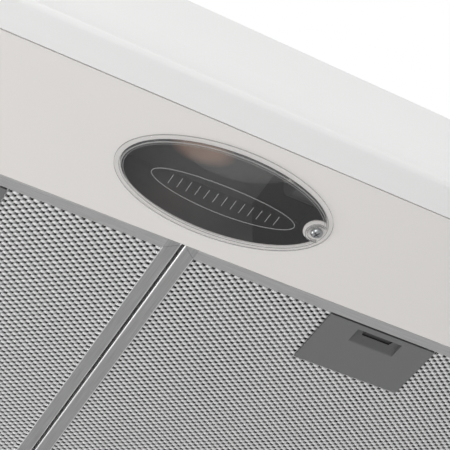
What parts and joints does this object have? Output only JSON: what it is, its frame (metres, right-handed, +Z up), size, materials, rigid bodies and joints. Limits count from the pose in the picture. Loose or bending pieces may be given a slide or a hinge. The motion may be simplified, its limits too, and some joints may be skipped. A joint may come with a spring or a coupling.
{
  "type": "under cabinet range hood",
  "caption": "Slim under cabinet range hood with a coved front fascia, oval lamp cover, hinged grease filters with latches, a top duct collar with flaps and push buttons.",
  "frame": {"origin": "centre of the four cabinet screw holes, on the flat top of the casing", "axes": "+Z up, front of the hood at -Y, +X to the right seen from the front"},
  "size_m": [0.6, 0.48, 0.1712],
  "materials": {
    "white_enamel": "semi gloss baked enamel",
    "white_plastic": "gloss moulded",
    "black_plastic": "moulded, fine texture",
    "grey_plastic": "moulded",
    "galvanised_steel": "galvanised sheet",
    "nickel": "bright plated",
    "bulb_glass": "clear",
    "clear_plastic": "clear moulded",
    "zinc_screws": "zinc plated",
    "bright_steel": "ground",
    "motor_steel": "laminated",
    "copper": "enamelled wire",
    "bronze": "sintered",
    "rubber": "moulded",
    "filter_aluminium": "brushed",
    "mesh_aluminium": "expanded, bright",
    "latch_plastic": "satin moulded",
    "lead_sheath": "extruded sheath"
  },
  "bodies": {
    "hood": {"casing": "white_enamel", "rear_rail": "white_enamel", "lamp_panel": "white_enamel", "front_fascia": "white_plastic", "fascia_screws": "zinc_screws", "control_bezel": "white_plastic", "switch_block": "black_plastic", "lamp_housing": "galvanised_steel", "lamp_reflector": "galvanised_steel", "lamp_socket": "black_plastic", "lamp_cap": "nickel", "lamp_bulb": "bulb_glass", "lamp_lens": "clear_plastic", "lens_screw": "zinc_screws", "scroll_lower": "black_plastic", "scroll_upper": "black_plastic", "short_screws": "zinc_screws", "scroll_screws": "zinc_screws", "inlet_grille": "black_plastic", "motor_stator": "motor_steel", "motor_windings": "copper", "motor_cap_lower": "galvanised_steel", "motor_cap_upper": "galvanised_steel", "motor_bushes": "bronze", "motor_grommets": "rubber", "motor_screws": "zinc_screws", "duct_collar": "black_plastic", "flap_pin": "bright_steel", "terminal_box": "grey_plastic", "terminal_cover": "grey_plastic", "terminal_block": "white_plastic", "cable_gland": "black_plastic", "capacitor": "grey_plastic", "capacitor_strap": "galvanised_steel", "internal_leads": "lead_sheath", "button_springs": "bright_steel"},
    "rotor": {"impeller": "grey_plastic", "impeller_nut": "zinc_screws", "motor_shaft": "bright_steel", "motor_rotor": "motor_steel"},
    "flap_front": {"flap_front": "grey_plastic"},
    "flap_rear": {"flap_rear": "grey_plastic"},
    "button_light": {"button_light": "white_plastic"},
    "button_low": {"button_low": "white_plastic"},
    "button_medium": {"button_medium": "white_plastic"},
    "button_high": {"button_high": "white_plastic"},
    "filter_left": {"filter_frame_left": "filter_aluminium", "filter_mesh_left": "mesh_aluminium", "filter_core_left": "mesh_aluminium", "filter_tabs_left": "bright_steel", "latch_plate_left": "latch_plastic", "latch_spring_left": "bright_steel"},
    "latch_left": {"latch_slider_left": "latch_plastic"},
    "filter_right": {"filter_frame_right": "filter_aluminium", "filter_mesh_right": "mesh_aluminium", "filter_core_right": "mesh_aluminium", "filter_tabs_right": "bright_steel", "latch_plate_right": "latch_plastic", "latch_spring_right": "bright_steel"},
    "latch_right": {"latch_slider_right": "latch_plastic"}
  },
  "joints": [
    {"name": "fan_spin", "type": "hinge", "parent": "hood", "child": "rotor", "pos_m": [-0.078, -0.038, -0.06], "axis": [0, 0, 1], "continuous": true},
    {"name": "flap_front_swing", "type": "hinge", "parent": "hood", "child": "flap_front", "pos_m": [0, 0.115, 0.012], "axis": [-1, 0, 0], "range_deg": [0, 75]},
    {"name": "flap_rear_swing", "type": "hinge", "parent": "hood", "child": "flap_rear", "pos_m": [0, 0.115, 0.012], "axis": [1, 0, 0], "range_deg": [0, 75]},
    {"name": "button_light_press", "type": "slide", "parent": "hood", "child": "button_light", "axis": [0, 1, 0], "range_m": [0, 0.002], "stiffness_N_per_m": 500, "springref_m": -0.003, "deforming": ["button_springs"]},
    {"name": "button_low_press", "type": "slide", "parent": "hood", "child": "button_low", "axis": [0, 1, 0], "range_m": [0, 0.002], "stiffness_N_per_m": 500, "springref_m": -0.003, "deforming": ["button_springs"]},
    {"name": "button_medium_press", "type": "slide", "parent": "hood", "child": "button_medium", "axis": [0, 1, 0], "range_m": [0, 0.002], "stiffness_N_per_m": 500, "springref_m": -0.003, "deforming": ["button_springs"]},
    {"name": "button_high_press", "type": "slide", "parent": "hood", "child": "button_high", "axis": [0, 1, 0], "range_m": [0, 0.002], "stiffness_N_per_m": 500, "springref_m": -0.003, "deforming": ["button_springs"]},
    {"name": "filter_left_swing", "type": "hinge", "parent": "hood", "child": "filter_left", "pos_m": [-0.1398, 0.155, -0.1292], "axis": [1, 0, 0], "range_deg": [0, 60]},
    {"name": "latch_left_slide", "type": "slide", "parent": "filter_left", "child": "latch_left", "axis": [0, 1, 0], "range_m": [0, 0.0025], "stiffness_N_per_m": 300, "springref_m": -0.004, "deforming": ["latch_spring_left"]},
    {"name": "filter_right_swing", "type": "hinge", "parent": "hood", "child": "filter_right", "pos_m": [0.1398, 0.155, -0.1292], "axis": [1, 0, 0], "range_deg": [0, 60]},
    {"name": "latch_right_slide", "type": "slide", "parent": "filter_right", "child": "latch_right", "axis": [0, 1, 0], "range_m": [0, 0.0025], "stiffness_N_per_m": 300, "springref_m": -0.004, "deforming": ["latch_spring_right"]}
  ]
}
